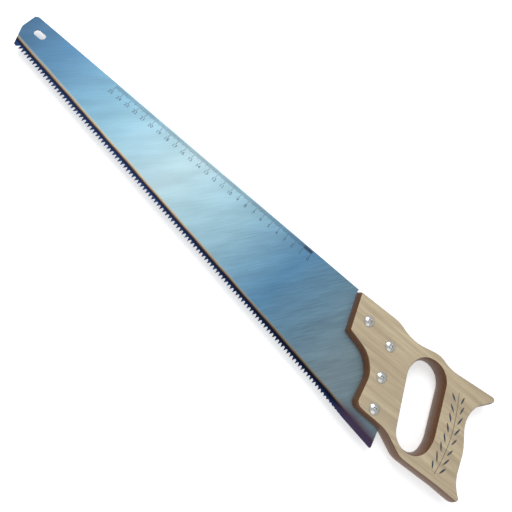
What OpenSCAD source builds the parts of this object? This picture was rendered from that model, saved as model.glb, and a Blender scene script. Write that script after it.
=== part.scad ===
// Handsaw with a tapered toothed blade, a closed wooden handle, and four screws with sleeve nuts.
// Drawn lying on its side: the toothed edge runs along X with the heel at x = 0 and the toe towards -X,
// the back of the blade is towards +Y, and z = 0 is the middle of the blade's thickness.
// The module place() then moves the saw over its origin, under the middle of its outline.

/* [Blade] */
// Length of the toothed edge, from the toe's corner to the heel's corner
blade_length = 502; // [400:1:650]
// Thickness of the blade
blade_thickness = 1; // [0.7:0.1:1.6]
// Height of the back over the tooth tips at the toe
toe_width = 36.3; // [30:0.1:60]
// Height of the back over the tooth tips where it meets the handle
shoulder_width = 99.5; // [90:0.5:130]
// How far the toe's nose stands in front of the toothed edge
toe_reach = 14; // [6:0.5:25]
// Height of the knee in the front edge of the toe
toe_knee_height = 17.6; // [10:0.2:22]
// Size of the corner cut off between the toe's nose and the back
toe_clip = 2.4; // [1:0.1:5]

/* [Teeth] */
// Distance from one tooth tip to the next
tooth_pitch = 3.96; // [2.5:0.01:6]
// Depth of the gullets between the teeth
tooth_depth = 3.4; // [1.5:0.1:5]
// Length without teeth at the toe
toe_land = 2.5; // [1:0.5:10]
// Length without teeth at the heel
heel_land = 38; // [10:1:80]
// Number of teeth at the heel end over which the gullets grow gradually shallower
fading_teeth = 10; // [0:1:25]

/* [Hanging slot] */
// Length of the slot, over its round ends
slot_length = 12.2; // [8:0.2:20]
// Width of the slot
slot_width = 7.2; // [4.5:0.1:10]
// Distance from the toe's nose to the middle of the slot
slot_setback = 18.4; // [12:0.2:40]
// Distance from the back down to the middle of the slot
slot_drop = 13.8; // [9:0.2:18]

/* [Handle] */
// Thickness of the handle
handle_thickness = 19; // [16:0.5:26]
// How far the rounded edges swell out at the middle of the thickness
edge_swell = 2.5; // [0.5:0.1:3.5]
// Distance from the heel's corner to the place where the back meets the handle
handle_setback = 109.5; // [100:0.5:120]
// Play on each side of the blade in the sawn slot of the handle
kerf_play = 0.1; // [0.05:0.01:0.4]
// Play behind the blade at the bottom of the sawn slot
kerf_end_play = 1.5; // [0.5:0.1:3]

/* [Screws and nuts] */
// Diameter of the screw's head
screw_head_d = 10.5; // [9:0.1:13]
// Height of the screw's head
screw_head_h = 2.7; // [1.8:0.1:3.6]
// Diameter of the screw's shank
screw_shank_d = 4.8; // [3:0.1:5]
// Depth of the cross recess in the screw's head
recess_depth = 2; // [1:0.1:2.4]
// Span of the cross recess
recess_span = 5.6; // [4:0.1:7]
// Width of one arm of the cross recess
recess_arm = 1.3; // [0.8:0.1:2]
// Diameter of the nut's head
nut_head_d = 11; // [9.5:0.1:14]
// Height of the nut's head
nut_head_h = 1.8; // [1.2:0.1:3]
// Outer diameter of the nut's sleeve
sleeve_d = 6.6; // [6:0.1:8]
// Distance from the front of the handle to the end of the nut's sleeve
sleeve_short = 3; // [1:0.5:6]
// Width of the screwdriver slot across the nut's head
nut_slot_w = 1.4; // [0.8:0.1:2]
// Depth of the screwdriver slot across the nut's head
nut_slot_depth = 1; // [0.5:0.1:1.1]
// Radial play of the sleeves in their holes, and of the shanks in the sleeves
hole_play = 0.1; // [0.05:0.01:0.3]
// Distance from the tip of a shank to the bottom of the hole in its sleeve
thread_runout = 1; // [0.5:0.1:1.5]

/* [Hidden] */
$fn = 48;
// Largest distance between a rounded corner of an outline and its facets
facet_gap = 0.03;
// Number of slices through the thickness of the swollen edges
swell_slices = 6;
// Length by which a swollen solid passes through the handle's faces
swell_overrun = 0.8;
// Length by which a cutting shape passes through a face
overcut = 2;
screw_count = 4;
screw_head_rim = 0.7;
nut_head_rim = 0.5;
// Width of the cross recess at its bottom, as a part of one arm's width
recess_point = 1.2;

// Where the back meets the handle; the handle, its grip hole and its screws are drawn from here
shoulder = [-handle_setback, shoulder_width];

// Front face of the handle, anticlockwise from the upper front corner: x, y and corner radius
cheek_top = [3, -3.8, 0.8];
cheek_corner = [19.5, -38.5, 0.8];
handle_corners = [
    cheek_top,
    cheek_corner,
    [46.5, -41, 32],
    [61.5, -53.5, 25],
    [70, -82.5, 6],
    [78, -82.5, 40],
    [105, -78.5, 37],
    [131.5, -86, 19],
    [174.5, -77, 90],
    [201, -73, 2],
    [186, -64, 34.5],
    [174.5, -35, 41],
    [156, -10.5, 30],
    [159.5, 9, 18],
    [173, 29, 2.5],
    [118, 12.5, 42],
    [100, 14.5, 20],
    [71, 1.5, 48],
    [49.5, 5.5, 33]
];

// Edge of the grip hole on the front face, anticlockwise: x, y and corner radius
grip_corners = [
    [84.5, -21, 22],
    [117.5, -80, 19],
    [149.5, -78.5, 19],
    [147, -51, 35],
    [116.5, 12.5, 21],
    [85, 1.5, 20]
];

// Middle of each screw
screw_places = [[26.5, -19], [57.5, -20], [71, -48], [85, -74]];

// The part of the blade inside the handle: its upper edge is lower than the back by tang_drop
tang_drop = 3;
tang_front = [52, 5, 10];
tang_rear = [81.5, -14, 12];
edge_r = 0.4;
knee_r = 4;
heel_r = 1.5;

// Slope of the back, from the toe up to the handle
nose_x = -blade_length - toe_reach;
back_start = [nose_x + toe_clip, toe_width];
back_slope = (shoulder.y - back_start.y) / (shoulder.x - back_start.x);
back_angle = atan(back_slope);

// Height of the handle's edge over its face at height z: none at the faces, full in the middle
function swell(z) = edge_swell * (1 - pow(2 * z / handle_thickness, 2));

// The arc of one rounded corner p between its neighbours a and b, grown outwards by grow
function corner_arc(a, p, b, grow) =
    let (
        here = [p.x, p.y],
        to_a = [a.x, a.y] - here,
        to_b = [b.x, b.y] - here,
        u = to_a / norm(to_a),
        v = to_b / norm(to_b),
        half = acos(u * v) / 2,
        centre = here + (u + v) / norm(u + v) * p[2] / sin(half),
        from = here + u * p[2] / tan(half) - centre,
        to = here + v * p[2] / tan(half) - centre,
        convex = cross(to_a, to_b) < 0,
        radius = convex ? p[2] + grow : p[2] - grow,
        start = atan2(from.y, from.x),
        turn = (atan2(to.y, to.x) - start + 540) % 360 - 180,
        facet_turn = 2 * acos(1 - facet_gap / (p[2] + edge_swell)),
        steps = max(1, ceil(abs(turn) / facet_turn))
    )
    [for (k = [0 : steps]) centre + radius * [cos(start + turn * k / steps), sin(start + turn * k / steps)]];

// A closed outline with rounded corners, listed anticlockwise, grown outwards by grow
function rounded(corners, grow = 0) =
    let (n = len(corners))
    [for (i = [0 : n - 1]) each corner_arc(corners[(i + n - 1) % n], corners[i], corners[(i + 1) % n], grow)];

// Outline of the blade without its teeth, anticlockwise from the heel to the toe
blade_corners = [
    [0, 0, heel_r],
    [shoulder.x + tang_rear.x, shoulder.y + tang_rear.y, tang_rear[2]],
    [shoulder.x + tang_front.x, shoulder.y + tang_front.y, tang_front[2]],
    [shoulder.x, shoulder.y - tang_drop, edge_r],
    [shoulder.x, shoulder.y, edge_r],
    [back_start.x, back_start.y, edge_r],
    [nose_x, back_start.y - toe_clip, edge_r],
    [nose_x + toe_clip, toe_knee_height, knee_r],
    [-blade_length, 0, edge_r]
];

// The toothed edge from the toe to the heel: a tip, then a gullet and a tip for each pitch
gullet_count = floor((blade_length - toe_land - heel_land) / tooth_pitch);
first_tip = -blade_length + toe_land;
function gullet_depth(i) = tooth_depth * min(1, (gullet_count - i) / (fading_teeth + 1));
toothed_edge = concat(
    [[first_tip, 0]],
    [for (i = [0 : gullet_count - 1])
        each [[first_tip + (i + 0.5) * tooth_pitch, gullet_depth(i)], [first_tip + (i + 1) * tooth_pitch, 0]]]
);

// Place of the origin, from the outlines themselves
handle_middle = rounded(handle_corners, edge_swell);
x_high = shoulder.x + max([for (p = handle_middle) p.x]);
y_high = shoulder.y + max([for (p = handle_middle) p.y]);
origin = [(nose_x + x_high) / 2, y_high / 2, -handle_thickness / 2 - nut_head_h];

module place() {
    translate(-origin) children();
}

// Moves a shape to the place where the back meets the handle
module at_shoulder() {
    translate([shoulder.x, shoulder.y, 0]) children();
}

// A solid whose outline swells at the middle of the handle's thickness, with both ends past the handle's faces
module swollen(corners, side) {
    half = handle_thickness / 2;
    slice = handle_thickness / swell_slices;
    inner = [for (k = [1 : swell_slices - 1]) -half + k * slice];
    levels = concat([-half - swell_overrun], inner, [half + swell_overrun]);
    end_swell = -swell(half - slice) * swell_overrun / slice;
    rings = [for (z = levels) rounded(corners, side * (abs(z) < half ? swell(z) : end_swell))];
    m = len(rings[0]);
    top = len(levels) - 1;
    points = [for (k = [0 : top]) for (p = rings[k]) [p.x, p.y, levels[k]]];
    walls = [
        for (k = [0 : top - 1]) for (i = [0 : m - 1]) let (j = (i + 1) % m)
            [k * m + i, (k + 1) * m + i, (k + 1) * m + j, k * m + j]
    ];
    ends = [[for (i = [0 : m - 1]) i], [for (i = [m - 1 : -1 : 0]) top * m + i]];
    polyhedron(points = points, faces = concat(walls, ends));
}

// The board that the handle is sawn from, larger than the handle all round
module board() {
    x = [for (p = handle_middle) p.x];
    y = [for (p = handle_middle) p.y];
    translate([min(x) - overcut, min(y) - overcut, -handle_thickness / 2])
        cube([max(x) - min(x) + 2 * overcut, max(y) - min(y) + 2 * overcut, handle_thickness]);
}

// The round holes for the sleeves, through the blade and the handle
module sleeve_holes() {
    length = handle_thickness + 2 * overcut;
    for (p = screw_places)
        translate([p.x, p.y, -length / 2]) cylinder(d = sleeve_d + 2 * hole_play, h = length);
}

module hanging_slot() {
    straight = slot_length - slot_width;
    depth = blade_thickness + 2 * overcut;
    translate([nose_x + slot_setback, back_start.y + (slot_setback - toe_clip) * back_slope - slot_drop, 0])
        rotate([0, 0, back_angle]) {
            cube([straight, slot_width, depth], center = true);
            for (side = [-1, 1])
                translate([side * straight / 2, 0, 0]) cylinder(d = slot_width, h = depth, center = true);
        }
}

module blade() {
    color([0.55, 0.62, 0.68])
        place()
            difference() {
                translate([0, 0, -blade_thickness / 2])
                    linear_extrude(blade_thickness)
                        polygon(concat(rounded(blade_corners), toothed_edge));
                hanging_slot();
                at_shoulder() sleeve_holes();
            }
}

// The sawn slot for the blade, open at the front, at the top and below
module kerf() {
    height = blade_thickness + 2 * kerf_play;
    above = max([for (p = handle_middle) p.y]) + overcut;
    below = -shoulder_width;
    before = -handle_setback;
    heel = [handle_setback, -shoulder_width];
    rear = [tang_rear.x, tang_rear.y] + [kerf_end_play, kerf_end_play];
    translate([0, 0, -height / 2])
        linear_extrude(height)
            polygon([
                [before, above],
                [before, below],
                heel + [kerf_end_play, 0],
                rear,
                [tang_front.x + kerf_end_play, tang_front.y + kerf_end_play],
                [tang_front.x + kerf_end_play, above]
            ]);
}

module handle() {
    color([0.80, 0.68, 0.50])
        place() at_shoulder()
            difference() {
                intersection() {
                    board();
                    swollen(handle_corners, 1);
                }
                swollen(grip_corners, -1);
                kerf();
                sleeve_holes();
            }
}

// A low dome of the given diameter and height, with a short upright rim, standing on z = 0
module domed_head(d, h, rim) {
    rise = h - rim;
    sphere_r = (pow(d / 2, 2) + pow(rise, 2)) / (2 * rise);
    intersection() {
        cylinder(d = d, h = h);
        translate([0, 0, h - sphere_r]) sphere(r = sphere_r);
    }
}

// A cross recess that narrows towards its bottom, open at z = 0 and going down
module cross_recess() {
    translate([0, 0, -recess_depth])
        intersection() {
            cylinder(d1 = recess_point * recess_arm, d2 = recess_span, h = recess_depth);
            for (turn = [0, 90])
                rotate([0, 0, turn])
                    translate([-recess_span, -recess_arm / 2, 0])
                        cube([2 * recess_span, recess_arm, recess_depth + overcut]);
        }
}

module saw_screw(n) {
    p = screw_places[n - 1];
    seat = handle_thickness / 2;
    tip = -seat + thread_runout;
    color([0.85, 0.86, 0.87])
        place() at_shoulder()
            translate([p.x, p.y, 0])
                difference() {
                    union() {
                        translate([0, 0, seat]) domed_head(screw_head_d, screw_head_h, screw_head_rim);
                        translate([0, 0, tip]) cylinder(d = screw_shank_d, h = seat - tip);
                    }
                    translate([0, 0, seat + screw_head_h]) cross_recess();
                }
}

module sleeve_nut(n) {
    p = screw_places[n - 1];
    seat = -handle_thickness / 2;
    sleeve_top = handle_thickness / 2 - sleeve_short;
    color([0.78, 0.79, 0.80])
        place() at_shoulder()
            translate([p.x, p.y, 0])
                difference() {
                    union() {
                        translate([0, 0, seat]) mirror([0, 0, 1]) domed_head(nut_head_d, nut_head_h, nut_head_rim);
                        translate([0, 0, seat]) cylinder(d = sleeve_d, h = sleeve_top - seat);
                    }
                    translate([0, 0, seat]) cylinder(d = screw_shank_d + 2 * hole_play, h = handle_thickness);
                    translate([-nut_head_d, -nut_slot_w / 2, seat - nut_head_h - overcut])
                        cube([2 * nut_head_d, nut_slot_w, nut_slot_depth + overcut]);
                }
}

blade();
handle();
for (n = [1 : screw_count]) {
    saw_screw(n);
    sleeve_nut(n);
}
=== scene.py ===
"""A handsaw lying on its side: brushed blade, set teeth, printed rule, wooden handle and plated screws."""
import math

import bmesh
import bpy
from bpy.props import FloatProperty, FloatVectorProperty, IntProperty, PointerProperty
from mathutils import Matrix, Vector


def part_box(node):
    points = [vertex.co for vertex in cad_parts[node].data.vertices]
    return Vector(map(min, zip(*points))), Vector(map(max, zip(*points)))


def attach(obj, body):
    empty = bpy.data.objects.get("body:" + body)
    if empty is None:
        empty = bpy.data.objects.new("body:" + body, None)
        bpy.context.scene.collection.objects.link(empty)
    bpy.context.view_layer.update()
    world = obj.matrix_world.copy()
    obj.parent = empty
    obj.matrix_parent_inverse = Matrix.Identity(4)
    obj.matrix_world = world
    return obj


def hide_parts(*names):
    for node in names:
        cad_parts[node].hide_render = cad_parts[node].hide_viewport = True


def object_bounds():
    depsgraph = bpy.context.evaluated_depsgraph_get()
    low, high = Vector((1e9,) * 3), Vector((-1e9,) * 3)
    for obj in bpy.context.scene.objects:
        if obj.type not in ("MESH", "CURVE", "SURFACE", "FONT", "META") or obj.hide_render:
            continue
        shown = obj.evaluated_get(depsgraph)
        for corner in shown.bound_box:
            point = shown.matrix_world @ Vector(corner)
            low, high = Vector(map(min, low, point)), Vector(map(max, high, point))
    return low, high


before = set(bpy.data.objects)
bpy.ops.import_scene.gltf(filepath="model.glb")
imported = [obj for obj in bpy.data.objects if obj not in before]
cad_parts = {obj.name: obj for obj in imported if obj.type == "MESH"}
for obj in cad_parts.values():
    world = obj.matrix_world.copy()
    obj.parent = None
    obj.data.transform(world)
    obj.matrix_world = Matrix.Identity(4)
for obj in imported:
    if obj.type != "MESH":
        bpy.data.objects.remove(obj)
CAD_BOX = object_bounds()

bl_info = {
    "name": "Handsaw",
    "version": (1, 0, 0),
    "blender": (4, 5, 0),
    "location": "3D View > Sidebar > Handsaw",
    "description": "Dresses the handsaw's solids with its detailed blade, handle, print and finishes",
    "category": "Object",
}

MM = 0.001

# Sizes are in mm and in the drawing's axes: x runs along the toothed edge, with the heel at 0 and the toe
# at -BLADE_LENGTH, y from the tooth tips to the back, and z from the middle of the blade's thickness.

# The blade
BLADE_LENGTH = 502.0
BLADE_THICKNESS = 1.0
NOSE_X = -516.0
TOE_WIDTH = 36.3
TOE_CLIP = 2.4
TOE_KNEE = 17.6
SHOULDER = (-109.5, 99.5)
TANG_DROP = 3.0
TANG_FRONT = (52, 5, 10)
TANG_REAR = (81.5, -14, 12)
EDGE_RADIUS = 0.4
KNEE_RADIUS = 4.0
HEEL_RADIUS = 1.5
BACK_START = (NOSE_X + TOE_CLIP, TOE_WIDTH)
BACK_SLOPE = (SHOULDER[1] - BACK_START[1]) / (SHOULDER[0] - BACK_START[0])
BACK_ANGLE = math.atan(BACK_SLOPE)
ALONG = Vector((math.cos(BACK_ANGLE), math.sin(BACK_ANGLE)))
ACROSS = Vector((-ALONG.y, ALONG.x))

# The teeth
TOOTH_PITCH = 3.96
TOOTH_DEPTH = 3.4
TOE_LAND = 2.5
HEEL_LAND = 38.0
FADING_TEETH = 10
TIP_HALF_WIDTH = 0.1
# From the middle of a gullet towards the tooth: steps along the edge and down from the gullet's floor
GULLET_CURVE = [(0.0, 0.0), (0.3, 0.02), (0.62, 0.42)]
# The share of its width that the filed bevel leaves a tooth on the side that it is bent to, and how far under
# the gullet's floor the bevel starts
BEVEL_SHARE = 0.55
BEVEL_START = 0.1

# The hanging slot
SLOT_LENGTH = 12.2
SLOT_WIDTH = 7.2
SLOT_SETBACK = 18.4
SLOT_DROP = 13.8
SLOT_FACETS = 16

# Largest gap between a rounded corner and its facets
FACET_GAP = 0.012

# The handle: its walls swell out in the middle, and its corners are x and y from the shoulder and a radius
HANDLE_THICKNESS = 19.0
EDGE_SWELL = 2.5
WALL_SLICES = 10
ARRIS_STEPS = 4
HANDLE_CORNERS = [
    (3, -3.8, 0.8), (19.5, -38.5, 0.8), (46.5, -41, 32), (61.5, -53.5, 25), (70, -82.5, 6), (78, -82.5, 40),
    (105, -78.5, 37), (131.5, -86, 19), (174.5, -77, 90), (201, -73, 2), (186, -64, 34.5), (174.5, -35, 41),
    (156, -10.5, 30), (159.5, 9, 18), (173, 29, 2.5), (118, 12.5, 42), (100, 14.5, 20), (71, 1.5, 48),
    (49.5, 5.5, 33),
]
GRIP_CORNERS = [
    (84.5, -21, 22), (117.5, -80, 19), (149.5, -78.5, 19), (147, -51, 35), (116.5, 12.5, 21), (85, 1.5, 20),
]

# The sawn slot in the handle: its play round the blade, and how far the cut runs on where it is open
KERF_PLAY = 0.1
KERF_END_PLAY = 1.5
KERF_LEFT = -20.0
KERF_TOP = 40.0
KERF_BELOW = 10.0

# The fasteners
SCREW_PLACES = [(26.5, -19), (57.5, -20), (71, -48), (85, -74)]
SLEEVE_HOLE = 6.8

# The printed rule
ZERO_TICK = Vector((-168.1, 90.3))
TICK_GAP = 1.0
CENTIMETRE_TICK = 8.8
HALF_TICK = 5.6
MILLIMETRE_TICK = 4.4
# The first centimetre is printed solid: ticks halfway between the marks and its ends close its gaps
BAR_LENGTH = 3.4
BAR_TICKS = 20
NUMERAL_DROP = 11.0
# Height of a numeral as a share of the font's size
NUMERAL_SHARE = 0.72
NUMERAL_STEPS = 3

# The sprig on the handle, in x and y: a bent stem, and leaves given by their two ends
STEM = [(27.5, 102), (33, 93.5), (38, 85), (43, 75), (47, 66), (50.5, 55), (53, 45), (54.7, 36), (55.6, 27)]
LEAVES = [
    ((22, 96.7), (30.5, 92)), ((27.3, 88), (35.3, 83.3)), ((31.7, 80.6), (39, 74.3)),
    ((36, 71.7), (43, 65)), ((39.5, 62.3), (46.3, 55.8)), ((42.2, 54), (48.7, 46.5)),
    ((44.5, 45), (51.3, 36.7)), ((46.7, 35.7), (51.5, 29.2)), ((34.5, 103), (36, 94.7)),
    ((40, 95.7), (41, 86.5)), ((45.2, 87.3), (45, 77)), ((49.6, 77), (48.8, 67.5)),
    ((53.3, 67.5), (52.2, 58.8)), ((56.5, 56.8), (55, 48.7)), ((59, 48.5), (57, 39)),
    ((61.5, 39.5), (59, 30.7)),
]
LEAF_STEPS = 8
LEAF_FULLNESS = 0.8

# The finish: the brushing's angle to the toothed edge in degrees, where along the edge the painted reflection
# stops changing the steel's tone, how high the heat tint reaches over the tips, where the heel's purple begins
# and is full, and the depths under the face between which the stain ends
BRUSH_ANGLE = 62.0
REFLECTION_END = -60.0
TINT_REACH = 12.0
HEEL_TINT = (-60.0, -30.0)
STAIN_END = (0.45, 0.15)
# Edges sharper than this, in degrees, stay sharp on the handle
SMOOTH_ANGLE = 32

# The camera, fitted to the photograph: place, and the picture's right, down and forward
CAMERA_PLACE = (-188.445, -129.812, 445.357)
CAMERA_RIGHT = Vector((0.66116, 0.706633, 0.252067))
CAMERA_DOWN = Vector((0.749741, -0.609997, -0.256499))
CAMERA_FORWARD = Vector((-0.027491, 0.358572, -0.933097))
SENSOR = 36.0
FOCAL_PIXELS = 500
PICTURE_PIXELS = 512
LENS = FOCAL_PIXELS / PICTURE_PIXELS * SENSOR
CLIP_RANGE = (0.01, 20.0)

# The stage, in metres in the frame; a lamp is its name, place, aim, size and power in watts
FLOOR_HALF = 3.0
FLOOR_GLOW = 0.42
SKY_COLOUR = (0.95, 0.97, 1.0, 1.0)
SKY_STRENGTH = 0.62
LAMPS = [
    ("window", (-0.6, 0.5, 1.1), (-0.05, 0.0, 0.0), 0.9, 10.0),
    ("fill", (0.7, -0.9, 0.9), (0.0, 0.0, 0.0), 1.2, 3.0),
]

# The colour sockets of a Mix node, whose names are shared by its other kinds
FACTOR, FIRST, SECOND, MIXED = 0, 6, 7, 2

# The drawing's origin in the frame, in metres
BLADE_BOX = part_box("blade")
ORIGIN = Vector((BLADE_BOX[0].x - NOSE_X * MM, BLADE_BOX[0].y, (BLADE_BOX[0].z + BLADE_BOX[1].z) / 2))


def place(x, y, z=0.0):
    """A point of the drawing, in mm, as a point of the frame, in metres."""
    return ORIGIN + Vector((x, y, z)) * MM


def from_shoulder(points):
    """Points given from the shoulder, as points of the drawing."""
    return [Vector((SHOULDER[0] + p[0], SHOULDER[1] + p[1])) for p in points]


# Outlines and meshes


def corner_arc(a, p, b, grow):
    """The arc of one rounded corner p (x, y, radius) between its neighbours, grown outwards."""
    here = Vector(p[:2])
    to_a, to_b = Vector(a[:2]) - here, Vector(b[:2]) - here
    u, v = to_a.normalized(), to_b.normalized()
    half = u.angle(v) / 2
    centre = here + (u + v).normalized() * p[2] / math.sin(half)
    start = here + u * p[2] / math.tan(half) - centre
    end = here + v * p[2] / math.tan(half) - centre
    convex = to_a.x * to_b.y - to_a.y * to_b.x < 0
    radius = p[2] + grow if convex else p[2] - grow
    first = math.atan2(start.y, start.x)
    turn = (math.atan2(end.y, end.x) - first + 3 * math.pi) % (2 * math.pi) - math.pi
    steps = max(1, math.ceil(abs(turn) / (2 * math.acos(1 - FACET_GAP / (p[2] + EDGE_SWELL)))))
    angles = [first + turn * k / steps for k in range(steps + 1)]
    return [centre + radius * Vector((math.cos(t), math.sin(t))) for t in angles]


def rounded(corners, grow=0.0):
    """A closed outline with rounded corners, listed anticlockwise, grown outwards."""
    n = len(corners)
    return [q for i in range(n) for q in corner_arc(corners[i - 1], corners[i], corners[(i + 1) % n], grow)]


def circle(cx, cy, d, n=32):
    """A closed circle of n points."""
    angles = [2 * math.pi * k / n for k in range(n)]
    return [Vector((cx + d / 2 * math.cos(t), cy + d / 2 * math.sin(t))) for t in angles]


def slot_outline():
    """The hanging slot: two half circles on a line along the back."""
    back_y = BACK_START[1] + (SLOT_SETBACK - TOE_CLIP) * BACK_SLOPE
    middle = Vector((NOSE_X + SLOT_SETBACK, back_y - SLOT_DROP))
    points = []
    for side in (1, -1):
        for k in range(SLOT_FACETS + 1):
            turn = math.pi * (k / SLOT_FACETS - 0.5)
            x = side * ((SLOT_LENGTH - SLOT_WIDTH) / 2 + SLOT_WIDTH / 2 * math.cos(turn))
            y = side * SLOT_WIDTH / 2 * math.sin(turn)
            points.append(middle + ALONG * x + ACROSS * y)
    return points


def tooth_row():
    """Where the row of teeth starts, in x, and how many gullets it has."""
    return -BLADE_LENGTH + TOE_LAND, math.floor((BLADE_LENGTH - TOE_LAND - HEEL_LAND) / TOOTH_PITCH)


def gullet_depth(i, count):
    """The depth of a gullet: the last ones before the heel get shallower."""
    return TOOTH_DEPTH * min(1, (count - i) / (FADING_TEETH + 1))


def blade_outline():
    """The blade's outline, straight from gullet to gullet, then round the heel, the tang and the back."""
    corners = [
        (0, 0, HEEL_RADIUS),
        (SHOULDER[0] + TANG_REAR[0], SHOULDER[1] + TANG_REAR[1], TANG_REAR[2]),
        (SHOULDER[0] + TANG_FRONT[0], SHOULDER[1] + TANG_FRONT[1], TANG_FRONT[2]),
        (SHOULDER[0], SHOULDER[1] - TANG_DROP, EDGE_RADIUS),
        (SHOULDER[0], SHOULDER[1], EDGE_RADIUS),
        (BACK_START[0], BACK_START[1], EDGE_RADIUS),
        (NOSE_X, BACK_START[1] - TOE_CLIP, EDGE_RADIUS),
        (NOSE_X + TOE_CLIP, TOE_KNEE, KNEE_RADIUS),
        (-BLADE_LENGTH, 0, EDGE_RADIUS),
    ]
    first, count = tooth_row()
    edge = [Vector((first, 0))]
    edge += [Vector((first + (i + 0.5) * TOOTH_PITCH, gullet_depth(i, count))) for i in range(count)]
    edge += [Vector((first + count * TOOTH_PITCH, 0))]
    return rounded(corners) + edge


def loops_solid(bm, walls):
    """Adds a closed solid: a wall is a list of rings (z, points) of equal length, and both ends are filled."""
    ends = ([], [])
    for rings in walls:
        made = [[bm.verts.new(place(p.x, p.y, z)) for p in points] for z, points in rings]
        n = len(made[0])
        for low, high in zip(made, made[1:]):
            for i in range(n):
                bm.faces.new((low[i], low[(i + 1) % n], high[(i + 1) % n], high[i]))
        for side, ring in ((0, made[0]), (1, made[-1])):
            ends[side].extend(bm.edges.get((ring[i], ring[(i + 1) % n])) for i in range(n))
    for edges in ends:
        bmesh.ops.triangle_fill(bm, use_beauty=True, use_dissolve=False, edges=edges)
    bmesh.ops.recalc_face_normals(bm, faces=bm.faces)


def prism(low, high):
    """A mesh between two rings of points in mm, each closed by one face."""
    bm = bmesh.new()
    rings = [[bm.verts.new(Vector(p) * MM) for p in ring] for ring in (low, high)]
    n = len(low)
    for i in range(n):
        j = (i + 1) % n
        bm.faces.new((rings[0][i], rings[0][j], rings[1][j], rings[1][i]))
    bm.faces.new(rings[0][::-1])
    bm.faces.new(rings[1])
    bmesh.ops.recalc_face_normals(bm, faces=bm.faces)
    return bm


def link(name, data):
    """A new object in the scene."""
    obj = bpy.data.objects.new(name, data)
    bpy.context.scene.collection.objects.link(obj)
    return obj


def to_object(bm, name):
    """A finished bmesh as an object."""
    mesh = bpy.data.meshes.new(name)
    bm.to_mesh(mesh)
    bm.free()
    return link(name, mesh)


def as_mesh(obj, name):
    """The evaluated object as a plain mesh piece without modifiers; the source object is removed."""
    bpy.context.view_layer.update()
    graph = bpy.context.evaluated_depsgraph_get()
    source = obj.evaluated_get(graph)
    mesh = bpy.data.meshes.new_from_object(source, preserve_all_data_layers=True, depsgraph=graph)
    mesh.name = name
    plain = link(name, mesh)
    bpy.data.objects.remove(obj)
    return plain


def join(base, *others):
    """Joins the other plain meshes into the base one, keeping each face's material."""
    pieces = [base, *others]
    with bpy.context.temp_override(active_object=base, selected_editable_objects=pieces,
                                   selected_objects=pieces, object=base):
        bpy.ops.object.join()
    return base


def dress(obj, material):
    """Makes a material the object's only one."""
    obj.data.materials.clear()
    obj.data.materials.append(material)


def settle(obj, slot, *nodes):
    """Gives a finished piece its body and hides the CAD nodes that it stands for; the slot is not used."""
    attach(obj, "root")
    if nodes:
        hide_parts(*nodes)


# Node trees and materials


def linear(code):
    """A hex sRGB colour as linear red, green, blue and alpha."""
    parts = [int(code[i:i + 2], 16) / 255 for i in (0, 2, 4)]
    return tuple(c / 12.92 if c <= 0.04045 else ((c + 0.055) / 1.055) ** 2.4 for c in parts) + (1.0,)


def colour(value):
    """A hex colour, a grey value or a ready colour as red, green, blue and alpha."""
    if isinstance(value, str):
        return linear(value)
    return (value, value, value, 1.0) if isinstance(value, float) else tuple(value)


def wire(tree, node, inputs):
    """Sets a node's inputs by socket name or number: a node or an output is linked, the rest are values."""
    for key, value in inputs.items():
        socket = node.inputs[key]
        if isinstance(value, bpy.types.Node):
            value = value.outputs[0]
        if isinstance(value, bpy.types.NodeSocket):
            tree.links.new(value, socket)
        else:
            socket.default_value = colour(value) if socket.type == "RGBA" else value


def add(tree, kind, inputs=None, stops=(), **settings):
    """Adds a node with its settings and inputs and, for a ramp, its stops of (position, colour or grey)."""
    node = tree.nodes.new(kind)
    for key, value in settings.items():
        setattr(node, key, value)
    wire(tree, node, inputs or {})
    for n, (position, value) in enumerate(stops):
        elements = node.color_ramp.elements
        element = elements[n] if n < len(elements) else elements.new(1.0)
        element.position, element.color = position, colour(value)
    return node


def new_material(name):
    """A node material: itself, its tree, its shader, and the drawing's x, y, z in mm."""
    material = bpy.data.materials.new(name)
    material.use_nodes = True
    tree = material.node_tree
    where = add(tree, "ShaderNodeTexCoord").outputs["Object"]
    shifted = add(tree, "ShaderNodeVectorMath", {0: where, 1: tuple(ORIGIN)}, operation="SUBTRACT")
    in_mm = add(tree, "ShaderNodeVectorMath", {0: shifted, "Scale": 1 / MM}, operation="SCALE")
    return material, tree, tree.nodes["Principled BSDF"], in_mm


def streaks(tree, mm, angle, along, across, detail, rough):
    """Noise drawn out at an angle to the toothed edge, with a streak's size in mm along and across it."""
    turned = add(tree, "ShaderNodeMapping", {
        "Vector": mm, "Rotation": (0.0, 0.0, math.radians(angle)), "Scale": (along, across, across),
    }, vector_type="TEXTURE")
    return add(tree, "ShaderNodeTexNoise", {
        "Vector": turned, "Scale": 1.0, "Detail": detail, "Roughness": rough})


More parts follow.
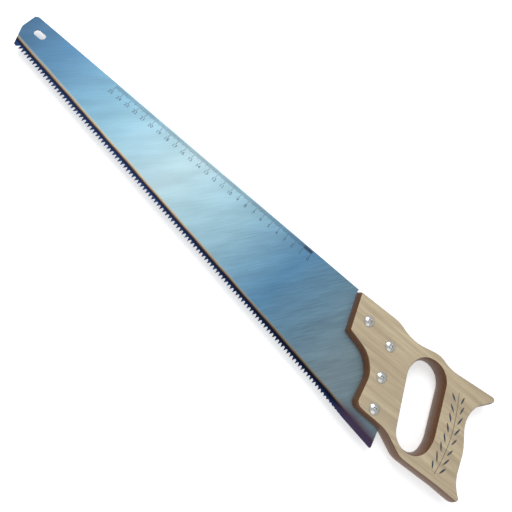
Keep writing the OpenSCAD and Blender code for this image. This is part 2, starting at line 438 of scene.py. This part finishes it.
def blade_steel():
    """Cold-rolled spring steel, ground and satin brushed: blue-grey, with painted reflections and heat tint.
    """
    material, tree, shader, mm = new_material("Brushed_spring_steel")
    axis = add(tree, "ShaderNodeSeparateXYZ", {0: mm}).outputs
    # Painted reflection: the sheet's tone drifts from navy at the toe over teal grey to blue and back to pale
    # grey at the handle, standing in for the surroundings mirrored in the steel
    length = add(tree, "ShaderNodeMapRange", {"Value": axis["X"], "From Min": NOSE_X, "From Max": REFLECTION_END})
    tone = add(tree, "ShaderNodeValToRGB", {"Fac": length}, [
        (0.0, "3B566F"), (0.10, "44657F"), (0.26, "5F7F8E"), (0.45, "7E9399"), (0.62, "73929F"),
        (0.76, "56809E"), (0.86, "6C8DA0"), (0.97, "8498A0")])
    # Drawn coarse enough to show: real brushing marks are finer than a pixel of the render
    brushing = streaks(tree, mm, BRUSH_ANGLE, 22.0, 0.7, 4.0, 0.65)
    lines = add(tree, "ShaderNodeValToRGB", {"Fac": brushing}, [(0.30, 0.28), (0.72, 0.78)])
    tone = add(tree, "ShaderNodeMix", {FACTOR: 0.34, FIRST: tone, SECOND: lines},
               data_type="RGBA", blend_type="OVERLAY")
    # Painted reflection: soft blotches of lighter and darker grey stand in for clouds mirrored in the steel
    reflection_noise = streaks(tree, mm, BRUSH_ANGLE, 60.0, 14.0, 2.0, 0.5)
    cloud_reflection = add(tree, "ShaderNodeValToRGB", {"Fac": reflection_noise}, [(0.30, 0.30), (0.70, 0.72)])
    tone = add(tree, "ShaderNodeMix", {FACTOR: 0.22, FIRST: tone.outputs[MIXED], SECOND: cloud_reflection},
               data_type="RGBA", blend_type="OVERLAY")
    # Heat tint of the hardened teeth: navy, near black over the gullets, brown, then gold into the grey
    waver = add(tree, "ShaderNodeMath", {0: streaks(tree, mm, 0.0, 26.0, 6.0, 3.0, 0.6), 1: 0.5},
                operation="SUBTRACT")
    drift = add(tree, "ShaderNodeMath", {0: waver, 1: 1.6}, operation="MULTIPLY")
    height = add(tree, "ShaderNodeMath", {0: axis["Y"], 1: drift}, operation="ADD")
    strip = add(tree, "ShaderNodeMapRange", {"Value": height, "From Min": 0.0, "From Max": TINT_REACH})
    tint = add(tree, "ShaderNodeValToRGB", {"Fac": strip}, [
        (0.0, "1E3560"), (0.26, "1B2C52"), (0.36, "10182C"), (0.47, "1A1D2B"), (0.54, "5B4734"),
        (0.62, "8A7858"), (0.74, "8D8F84")])
    tinted = add(tree, "ShaderNodeValToRGB", {"Fac": strip}, [(0.58, 1.0), (0.80, 0.0)])
    tone = add(tree, "ShaderNodeMix", {FACTOR: tinted, FIRST: tone.outputs[MIXED], SECOND: tint},
               data_type="RGBA")
    # The heel, which has no teeth, is tempered purple
    rearward = add(tree, "ShaderNodeMapRange", {
        "Value": axis["X"], "From Min": HEEL_TINT[0], "From Max": HEEL_TINT[1],
    }, interpolation_type="SMOOTHSTEP")
    low = add(tree, "ShaderNodeMapRange", {"Value": height, "From Min": 16.0, "From Max": 7.0},
              interpolation_type="SMOOTHSTEP")
    heel = add(tree, "ShaderNodeMath", {0: rearward, 1: low}, operation="MULTIPLY")
    share = add(tree, "ShaderNodeMath", {0: heel, 1: 0.75}, operation="MULTIPLY")
    tone = add(tree, "ShaderNodeMix", {FACTOR: share, FIRST: tone.outputs[MIXED], SECOND: "5A4A63"},
               data_type="RGBA")
    roughness = add(tree, "ShaderNodeValToRGB", {"Fac": brushing}, [(0.2, 0.36), (0.8, 0.50)])
    bump = add(tree, "ShaderNodeBump", {"Strength": 0.12, "Distance": 0.05 * MM, "Height": brushing})
    wire(tree, shader, {
        "Base Color": tone.outputs[MIXED], "Metallic": 1.0, "Roughness": roughness, "Normal": bump})
    return material


def handle_wood():
    """Lacquered beech board: pale sanded faces with fine dark flecks, and routed edges stained brown."""
    material, tree, shader, mm = new_material("Lacquered_beech")
    # The grain lies close to the blade's back
    lean = math.degrees(BACK_ANGLE) + 2.0
    rings = streaks(tree, mm, lean, 90.0, 5.0, 3.0, 0.55)
    grain = streaks(tree, mm, lean, 30.0, 0.9, 4.0, 0.6)
    fleck = streaks(tree, mm, lean, 5.0, 0.45, 2.0, 0.5)
    face = add(tree, "ShaderNodeValToRGB", {"Fac": rings}, [
        (0.30, "A8977B"), (0.50, "B5A486"), (0.68, "C2B291")])
    lines = add(tree, "ShaderNodeValToRGB", {"Fac": grain}, [(0.30, 0.30), (0.70, 0.70)])
    face = add(tree, "ShaderNodeMix", {FACTOR: 0.30, FIRST: face, SECOND: lines},
               data_type="RGBA", blend_type="OVERLAY")
    flecks = add(tree, "ShaderNodeMapRange", {"Value": fleck, "From Min": 0.60, "From Max": 0.72})
    dark = add(tree, "ShaderNodeMath", {0: flecks, 1: 0.35}, operation="MULTIPLY")
    face = add(tree, "ShaderNodeMix", {FACTOR: dark, FIRST: face.outputs[MIXED], SECOND: "8A7353"},
               data_type="RGBA")
    wall = add(tree, "ShaderNodeValToRGB", {"Fac": grain}, [
        (0.25, "4E2D14"), (0.55, "68421F"), (0.80, "7C532B")])
    # The stain stops where the broken edge reaches the face
    height = add(tree, "ShaderNodeSeparateXYZ", {0: mm}).outputs["Z"]
    depth = add(tree, "ShaderNodeMath", {0: height}, operation="ABSOLUTE")
    on_face = add(tree, "ShaderNodeMapRange", {
        "Value": depth, "From Min": HANDLE_THICKNESS / 2 - STAIN_END[0],
        "From Max": HANDLE_THICKNESS / 2 - STAIN_END[1],
    }, interpolation_type="SMOOTHSTEP")
    tone = add(tree, "ShaderNodeMix", {FACTOR: on_face, FIRST: wall, SECOND: face.outputs[MIXED]},
               data_type="RGBA")
    roughness = add(tree, "ShaderNodeValToRGB", {"Fac": grain}, [(0.2, 0.42), (0.8, 0.55)])
    bump = add(tree, "ShaderNodeBump", {"Strength": 0.25, "Distance": 0.1 * MM, "Height": grain})
    wire(tree, shader, {
        "Base Color": tone.outputs[MIXED], "Roughness": roughness, "Normal": bump, "IOR": 1.5,
        "Coat Weight": 0.25, "Coat Roughness": 0.25})
    return material


def plating(name, metal, roughness):
    """Nickel-plated steel, tumbled bright: mirror-like with faint wear."""
    material, tree, shader, mm = new_material(name)
    wear = add(tree, "ShaderNodeTexNoise", {"Vector": mm, "Scale": 0.9, "Detail": 3.0})
    worn = add(tree, "ShaderNodeValToRGB", {"Fac": wear}, [(0.35, 0.0), (0.75, 0.4)])
    tone = add(tree, "ShaderNodeMix", {FACTOR: worn, FIRST: metal, SECOND: "7D7A74"}, data_type="RGBA")
    gloss = add(tree, "ShaderNodeValToRGB", {"Fac": wear}, [(0.3, roughness), (0.8, roughness + 0.2)])
    wire(tree, shader, {"Base Color": tone.outputs[MIXED], "Roughness": gloss, "Metallic": 1.0})
    return material


def ink(name, fresh, thin):
    """Screen-printed ink, worn thin in places."""
    material, tree, shader, mm = new_material(name)
    wear = add(tree, "ShaderNodeTexNoise", {"Vector": mm, "Scale": 0.35, "Detail": 4.0})
    worn = add(tree, "ShaderNodeValToRGB", {"Fac": wear}, [(0.45, 0.0), (0.8, 1.0)])
    tone = add(tree, "ShaderNodeMix", {FACTOR: worn, FIRST: fresh, SECOND: thin}, data_type="RGBA")
    wire(tree, shader, {"Base Color": tone.outputs[MIXED], "Roughness": 0.5})
    return material


def paper(floor_colour):
    """Matt white paper: even and without gloss, with a glow only for the camera and for mirrored rays."""
    material = bpy.data.materials.new("Matt_white_paper")
    material.use_nodes = True
    tree = material.node_tree
    tree.nodes.remove(tree.nodes["Principled BSDF"])
    seen = add(tree, "ShaderNodeLightPath").outputs
    rays = add(tree, "ShaderNodeMath", {0: seen["Is Camera Ray"], 1: seen["Is Glossy Ray"]},
               operation="MAXIMUM")
    strength = add(tree, "ShaderNodeMath", {0: rays, 1: FLOOR_GLOW}, operation="MULTIPLY")
    glow = add(tree, "ShaderNodeEmission", {"Strength": strength})
    matt = add(tree, "ShaderNodeBsdfDiffuse", {"Color": floor_colour})
    both = add(tree, "ShaderNodeAddShader", {0: matt, 1: glow})
    wire(tree, tree.nodes["Material Output"], {"Surface": both})
    return material


# What repeats


def repeater(name, unit, material):
    """A tree that sets copies of a unit mesh on points, turned and scaled by the points' attributes."""
    tree = bpy.data.node_groups.new(name, "GeometryNodeTree")
    tree.interface.new_socket("Geometry", in_out="INPUT", socket_type="NodeSocketGeometry")
    tree.interface.new_socket("Size", in_out="INPUT", socket_type="NodeSocketFloat").default_value = 1.0
    tree.interface.new_socket("Geometry", in_out="OUTPUT", socket_type="NodeSocketGeometry")
    given = add(tree, "NodeGroupInput").outputs
    info = add(tree, "GeometryNodeObjectInfo", {"Object": unit}).outputs["Geometry"]
    turn = add(tree, "GeometryNodeInputNamedAttribute", {"Name": "turn"}, data_type="FLOAT_VECTOR")
    size = add(tree, "GeometryNodeInputNamedAttribute", {"Name": "size"}, data_type="FLOAT_VECTOR")
    factor = add(tree, "ShaderNodeVectorMath", {0: size, "Scale": given["Size"]}, operation="SCALE")
    points = add(tree, "GeometryNodeMeshToPoints", {"Mesh": given["Geometry"]})
    copies = add(tree, "GeometryNodeInstanceOnPoints", {
        "Points": points, "Instance": info, "Rotation": turn, "Scale": factor})
    real = add(tree, "GeometryNodeRealizeInstances", {0: copies})
    coated = add(tree, "GeometryNodeSetMaterial", {"Geometry": real, "Material": material})
    add(tree, "NodeGroupOutput", {0: coated})
    return tree


def repeat(name, unit, spots, material, size=1.0):
    """Copies of a unit mesh as one plain mesh; a spot is a point, a turn about Z in radians and a scale."""
    mesh = bpy.data.meshes.new(name + "_points")
    mesh.from_pydata([tuple(p) for p, _, _ in spots], [], [])
    turns = mesh.attributes.new("turn", "FLOAT_VECTOR", "POINT")
    turns.data.foreach_set("vector", [c for _, t, _ in spots for c in (0.0, 0.0, t)])
    sizes = mesh.attributes.new("size", "FLOAT_VECTOR", "POINT")
    sizes.data.foreach_set("vector", [c for _, _, s in spots for c in s])
    holder = link(name + "_points", mesh)
    modifier = holder.modifiers.new("Repeat", "NODES")
    modifier.node_group = repeater(name + "_tree", unit, material)
    socket = next(s for s in modifier.node_group.interface.items_tree if s.name == "Size")
    modifier[socket.identifier] = size
    piece = as_mesh(holder, name)
    bpy.data.objects.remove(unit)
    return piece


def tooth_unit(side, tooth_set):
    """One tooth between two rounded gullets, tip at the origin, bent to one side and bevelled there."""
    half, t = TOOTH_PITCH / 2, BLADE_THICKNESS / 2
    rise = [(-half + x, TOOTH_DEPTH - y) for x, y in GULLET_CURVE] + [(-TIP_HALF_WIDTH, 0.0)]
    profile = rise + [(-x, y) for x, y in reversed(rise)]
    rings = []
    for z in (-t, t):
        ring = []
        for x, y in profile:
            share = BEVEL_SHARE if y < TOOTH_DEPTH - BEVEL_START and side * z > 0 else 1.0
            ring.append((x * share, y, z + side * tooth_set * (1 - y / TOOTH_DEPTH)))
        rings.append(ring)
    return to_object(prism(*rings), "tooth_unit")


def tick_unit(width, height):
    """A printed bar 1 mm long, hanging from the origin towards -y, to be drawn out to a tick's length."""
    corners = [(-width / 2, -1.0), (width / 2, -1.0), (width / 2, 0.0), (-width / 2, 0.0)]
    return to_object(prism(*([(x, y, z) for x, y in corners] for z in (0.0, height))), "tick_unit")


def leaf_unit(height):
    """A flat spindle 1 mm long and 1 mm wide, to be scaled to each leaf."""
    shares = [k / LEAF_STEPS for k in range(LEAF_STEPS + 1)]
    upper = [(s - 0.5, 0.5 * math.sin(math.pi * s) ** LEAF_FULLNESS) for s in shares]
    outline = upper + [(x, -y) for x, y in reversed(upper[1:-1])]
    return to_object(prism(*([(x, y, z) for x, y in outline] for z in (0.0, height))), "leaf_unit")


# The sizes and colours that a user may change


class SawBladeProps(bpy.types.PropertyGroup):
    tooth_set: FloatProperty(
        name="Tooth set", description="How far each tooth tip is bent sideways, in mm",
        default=0.35, min=0.0, max=0.5)


class SawHandleProps(bpy.types.PropertyGroup):
    arris: FloatProperty(
        name="Arris rounding", description="Radius that breaks the edges of the faces, in mm",
        default=0.7, min=0.1, max=0.8)


class SawPrintProps(bpy.types.PropertyGroup):
    ink_height: FloatProperty(
        name="Ink height", description="Thickness of the printed ink, in mm",
        default=0.02, min=0.005, max=0.1)
    centimetres: IntProperty(
        name="Centimetres", description="Length of the printed rule", default=25, min=1, max=30)
    tick_width: FloatProperty(
        name="Tick width", description="Width of the rule's ticks, in mm", default=0.36, min=0.1, max=0.8)
    numeral_height: FloatProperty(
        name="Numeral height", description="Height of the rule's numbers, in mm",
        default=3.7, min=1.0, max=6.0)


class SawSprigProps(bpy.types.PropertyGroup):
    leaf_width: FloatProperty(
        name="Leaf width", description="Width of each leaf of the sprig, in mm",
        default=1.9, min=0.5, max=4.0)
    stem_radius: FloatProperty(
        name="Stem radius", description="Half the width of the sprig's stem, in mm",
        default=0.25, min=0.05, max=1.0)


class SawStageProps(bpy.types.PropertyGroup):
    floor_colour: FloatVectorProperty(
        name="Floor colour", description="Colour of the plain floor", subtype="COLOR", size=4,
        default=(0.90, 0.90, 0.90, 1.0), min=0.0, max=1.0)


class SAW_OT_blade(bpy.types.Operator):
    """Makes the blade with its hanging slot and its set teeth"""
    bl_idname = "saw.blade"
    bl_label = "Blade"

    def execute(self, context):
        steel = blade_steel()
        half = BLADE_THICKNESS / 2
        loops = [blade_outline(), slot_outline()]
        loops += [circle(x, y, SLEEVE_HOLE) for x, y in from_shoulder(SCREW_PLACES)]
        bm = bmesh.new()
        loops_solid(bm, [[(-half, loop), (half, loop)] for loop in loops])
        body = to_object(bm, "saw_blade")
        dress(body, steel)
        first, count = tooth_row()
        rows = []
        for start, side in enumerate((1, -1)):
            spots = []
            for i in range(start, count - 1, 2):
                scale = (gullet_depth(i, count) + gullet_depth(i + 1, count)) / 2 / TOOTH_DEPTH
                spots.append((place(first + (i + 1) * TOOTH_PITCH, 0), 0.0, (1.0, scale, 1.0)))
            unit = tooth_unit(side, context.scene.saw_blade.tooth_set)
            rows.append(repeat(f"teeth_{side}", unit, spots, steel))
        settle(join(body, *rows), "blade_steel", "blade")
        return {"FINISHED"}


class SAW_OT_handle(bpy.types.Operator):
    """Makes the handle with swollen walls, broken edges and the sawn slot for the blade"""
    bl_idname = "saw.handle"
    bl_label = "Handle"

    def execute(self, context):
        handle = self.board(context.scene.saw_handle.arris)
        cutter = self.kerf()
        boolean = handle.modifiers.new("Kerf", "BOOLEAN")
        boolean.operation, boolean.solver, boolean.object = "DIFFERENCE", "EXACT", cutter
        piece = as_mesh(handle, "saw_handle")
        bpy.data.objects.remove(cutter)
        piece.data.polygons.foreach_set("use_smooth", [True] * len(piece.data.polygons))
        piece.data.set_sharp_from_angle(angle=math.radians(SMOOTH_ANGLE))
        dress(piece, handle_wood())
        settle(piece, "handle_wood", "handle")
        return {"FINISHED"}

    def board(self, arris):
        """The board with its grip hole: walls that swell in the middle, and a small round at both faces."""
        half = HANDLE_THICKNESS / 2
        step = (HANDLE_THICKNESS - 2 * arris) / WALL_SLICES
        wall = []
        for k in range(WALL_SLICES + 1):
            z = -half + arris + k * step
            wall.append((z, EDGE_SWELL * (1 - (z / half) ** 2)))
        start_z = half - arris
        start_grow = EDGE_SWELL * (1 - (start_z / half) ** 2)
        # The broken edge is a quadratic curve from the wall over the arris onto the face
        edge = []
        for k in range(1, ARRIS_STEPS + 1):
            s = k / ARRIS_STEPS
            z = (1 - s) ** 2 * start_z + 2 * s * (1 - s) * half + s * s * half
            edge.append((z, (1 - s) ** 2 * start_grow - s * s * arris))
        profile = [(-z, grow) for z, grow in reversed(edge)] + wall + edge
        outer = [(z, from_shoulder(rounded(HANDLE_CORNERS, grow))) for z, grow in profile]
        inner = [(z, from_shoulder(rounded(GRIP_CORNERS, -grow))) for z, grow in profile]
        bm = bmesh.new()
        loops_solid(bm, [outer, inner])
        return to_object(bm, "saw_handle")

    def kerf(self):
        """The cutter of the sawn slot, with its play, open towards the toe, the back and the teeth."""
        half = BLADE_THICKNESS / 2 + KERF_PLAY
        heel = (KERF_END_PLAY - SHOULDER[0], -SHOULDER[1])
        outline = from_shoulder([
            (KERF_LEFT, KERF_TOP), (KERF_LEFT, heel[1] - KERF_BELOW), (heel[0], heel[1] - KERF_BELOW), heel,
            (TANG_REAR[0] + KERF_END_PLAY, TANG_REAR[1] + KERF_END_PLAY),
            (TANG_FRONT[0] + KERF_END_PLAY, TANG_FRONT[1] + KERF_END_PLAY),
            (TANG_FRONT[0] + KERF_END_PLAY, KERF_TOP),
        ])
        bm = bmesh.new()
        loops_solid(bm, [[(-half, outline), (half, outline)]])
        return to_object(bm, "kerf_cutter")


class SAW_OT_print(bpy.types.Operator):
    """Prints the centimetre rule along the back"""
    bl_idname = "saw.print"
    bl_label = "Printed rule"

    def execute(self, context):
        props = context.scene.saw_print
        dark = ink("Navy_print", "1D2C45", "3A4C62")
        face = BLADE_THICKNESS / 2
        # A tick's distance from the zero tick and its length
        ticks = []
        for n in range(props.centimetres * 10 + 1):
            length = CENTIMETRE_TICK if n % 10 == 0 else HALF_TICK if n % 5 == 0 else MILLIMETRE_TICK
            ticks.append((n, length - TICK_GAP))
        ticks += [(n / 2 + 0.25, BAR_LENGTH) for n in range(BAR_TICKS)]
        spots = []
        for distance, length in ticks:
            p = ZERO_TICK - ALONG * distance - ACROSS * TICK_GAP
            spots.append((place(p.x, p.y, face), BACK_ANGLE, (1.0, length, 1.0)))
        unit = tick_unit(props.tick_width, props.ink_height)
        settle(repeat("rule_ticks", unit, spots, dark), "blade_steel")
        numbers = []
        for n in range(props.centimetres + 1):
            numeral = self.numeral(n, props)
            p = ZERO_TICK - ALONG * 10 * n - ACROSS * NUMERAL_DROP
            spot = place(p.x, p.y, face + props.ink_height / 2)
            numeral.data.transform(Matrix.Translation(spot) @ Matrix.Rotation(BACK_ANGLE, 4, "Z"))
            numbers.append(numeral)
        numerals = join(*numbers)
        numerals.name = "rule_numbers"
        dress(numerals, dark)
        settle(numerals, "blade_steel")
        return {"FINISHED"}

    def numeral(self, n, props):
        """One number of the rule as a plain mesh, centred on the origin."""
        curve = bpy.data.curves.new(f"number_{n}", "FONT")
        curve.body = str(n)
        curve.size = props.numeral_height / NUMERAL_SHARE * MM
        curve.align_x, curve.align_y = "CENTER", "CENTER"
        curve.extrude = props.ink_height / 2 * MM
        curve.resolution_u = NUMERAL_STEPS
        return as_mesh(link(f"number_{n}", curve), f"number_{n}_mesh")


class SAW_OT_ornament(bpy.types.Operator):
    """Prints the leafy sprig on the handle's front face"""
    bl_idname = "saw.ornament"
    bl_label = "Sprig ornament"

    def execute(self, context):
        props = context.scene.saw_sprig
        ink_height = context.scene.saw_print.ink_height
        dark = ink("Sprig_print", "39424E", "6A5A48")
        face = HANDLE_THICKNESS / 2
        spots = []
        for ends in LEAVES:
            a, b = Vector(ends[0]), Vector(ends[1])
            middle, d = (a + b) / 2, b - a
            scale = (d.length, props.leaf_width, 1.0)
            spots.append((place(middle.x, middle.y, face), math.atan2(d.y, d.x), scale))
        settle(repeat("sprig_leaves", leaf_unit(ink_height), spots, dark), "handle_wood")
        curve = bpy.data.curves.new("stem", "CURVE")
        curve.dimensions = "3D"
        spline = curve.splines.new("NURBS")
        spline.points.add(len(STEM) - 1)
        for point, (x, y) in zip(spline.points, STEM):
            point.co = (*place(x, y, face), 1.0)
        spline.use_endpoint_u = True
        spline.order_u = 4
        curve.bevel_depth = props.stem_radius * MM
        curve.bevel_resolution = 1
        stem = as_mesh(link("stem", curve), "sprig_stem")
        # The round stem is pressed down to the ink's height
        level = place(0, 0, face).z
        for vertex in stem.data.vertices:
            vertex.co.z = level + (vertex.co.z - level) * ink_height / props.stem_radius
        dress(stem, dark)
        settle(stem, "handle_wood")
        return {"FINISHED"}


class SAW_OT_fasteners(bpy.types.Operator):
    """Gives the screws and sleeve nuts their plated finish"""
    bl_idname = "saw.fasteners"
    bl_label = "Screws and nuts"

    def execute(self, context):
        bright = plating("Bright_nickel_plating", "D6D6D2", 0.18)
        dull = plating("Dull_nickel_plating", "B9B8B2", 0.30)
        for n in range(1, len(SCREW_PLACES) + 1):
            for node, coat in ((f"saw_screw_{n}", bright), (f"sleeve_nut_{n}", dull)):
                for material_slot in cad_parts[node].material_slots:
                    material_slot.material = coat
        return {"FINISHED"}


class SAW_OT_stage(bpy.types.Operator):
    """Sets the floor, the lights and the camera"""
    bl_idname = "saw.stage"
    bl_label = "Stage"

    def execute(self, context):
        scene = context.scene
        scene.view_settings.view_transform = "Standard"
        bm = bmesh.new()
        bmesh.ops.create_grid(bm, x_segments=1, y_segments=1, size=FLOOR_HALF)
        floor = to_object(bm, "studio_floor")
        floor.data.transform(Matrix.Translation((0, 0, CAD_BOX[0].z)))
        dress(floor, paper(scene.saw_stage.floor_colour))
        scene.world = scene.world or bpy.data.worlds.new("World")
        scene.world.use_nodes = True
        sky = scene.world.node_tree
        wire(sky, sky.nodes["Background"], {"Color": SKY_COLOUR, "Strength": SKY_STRENGTH})
        for name, position, aim, size, power in LAMPS:
            light = bpy.data.lights.new(name, "AREA")
            light.size, light.energy = size, power
            lamp = link(name, light)
            lamp.location = position
            lamp.rotation_euler = (Vector(aim) - Vector(position)).to_track_quat("-Z", "Y").to_euler()
        data = bpy.data.cameras.new("camera")
        data.sensor_width, data.lens = SENSOR, LENS
        data.clip_start, data.clip_end = CLIP_RANGE
        camera = link("camera", data)
        turn = Matrix((CAMERA_RIGHT, -CAMERA_DOWN, -CAMERA_FORWARD)).transposed()
        camera.matrix_world = Matrix.Translation(place(*CAMERA_PLACE)) @ turn.to_4x4()
        scene.camera = camera
        return {"FINISHED"}


class SAW_PT_panel(bpy.types.Panel):
    bl_idname = "SAW_PT_panel"
    bl_label = "Handsaw"
    bl_space_type = "VIEW_3D"
    bl_region_type = "UI"
    bl_category = "Handsaw"

    def draw(self, context):
        steps = (("saw_blade", "saw.blade"), ("saw_handle", "saw.handle"), ("saw_print", "saw.print"),
                 ("saw_sprig", "saw.ornament"), (None, "saw.fasteners"), ("saw_stage", "saw.stage"))
        for group, operator in steps:
            box = self.layout.box()
            if group:
                for key in GROUPS[group].__annotations__:
                    box.prop(getattr(context.scene, group), key)
            box.operator(operator)


GROUPS = {"saw_blade": SawBladeProps, "saw_handle": SawHandleProps, "saw_print": SawPrintProps,
          "saw_sprig": SawSprigProps, "saw_stage": SawStageProps}
CLASSES = (*GROUPS.values(), SAW_OT_blade, SAW_OT_handle, SAW_OT_print, SAW_OT_ornament, SAW_OT_fasteners,
           SAW_OT_stage, SAW_PT_panel)


def register():
    for cls in CLASSES:
        bpy.utils.register_class(cls)
    for name, group in GROUPS.items():
        setattr(bpy.types.Scene, name, PointerProperty(type=group))


def unregister():
    for name in GROUPS:
        delattr(bpy.types.Scene, name)
    for cls in reversed(CLASSES):
        bpy.utils.unregister_class(cls)


def main():
    register()
    for step in (bpy.ops.saw.blade, bpy.ops.saw.handle, bpy.ops.saw.print, bpy.ops.saw.ornament,
                 bpy.ops.saw.fasteners, bpy.ops.saw.stage):
        step()
    bpy.context.view_layer.update()


if __name__ == "__main__":
    main()
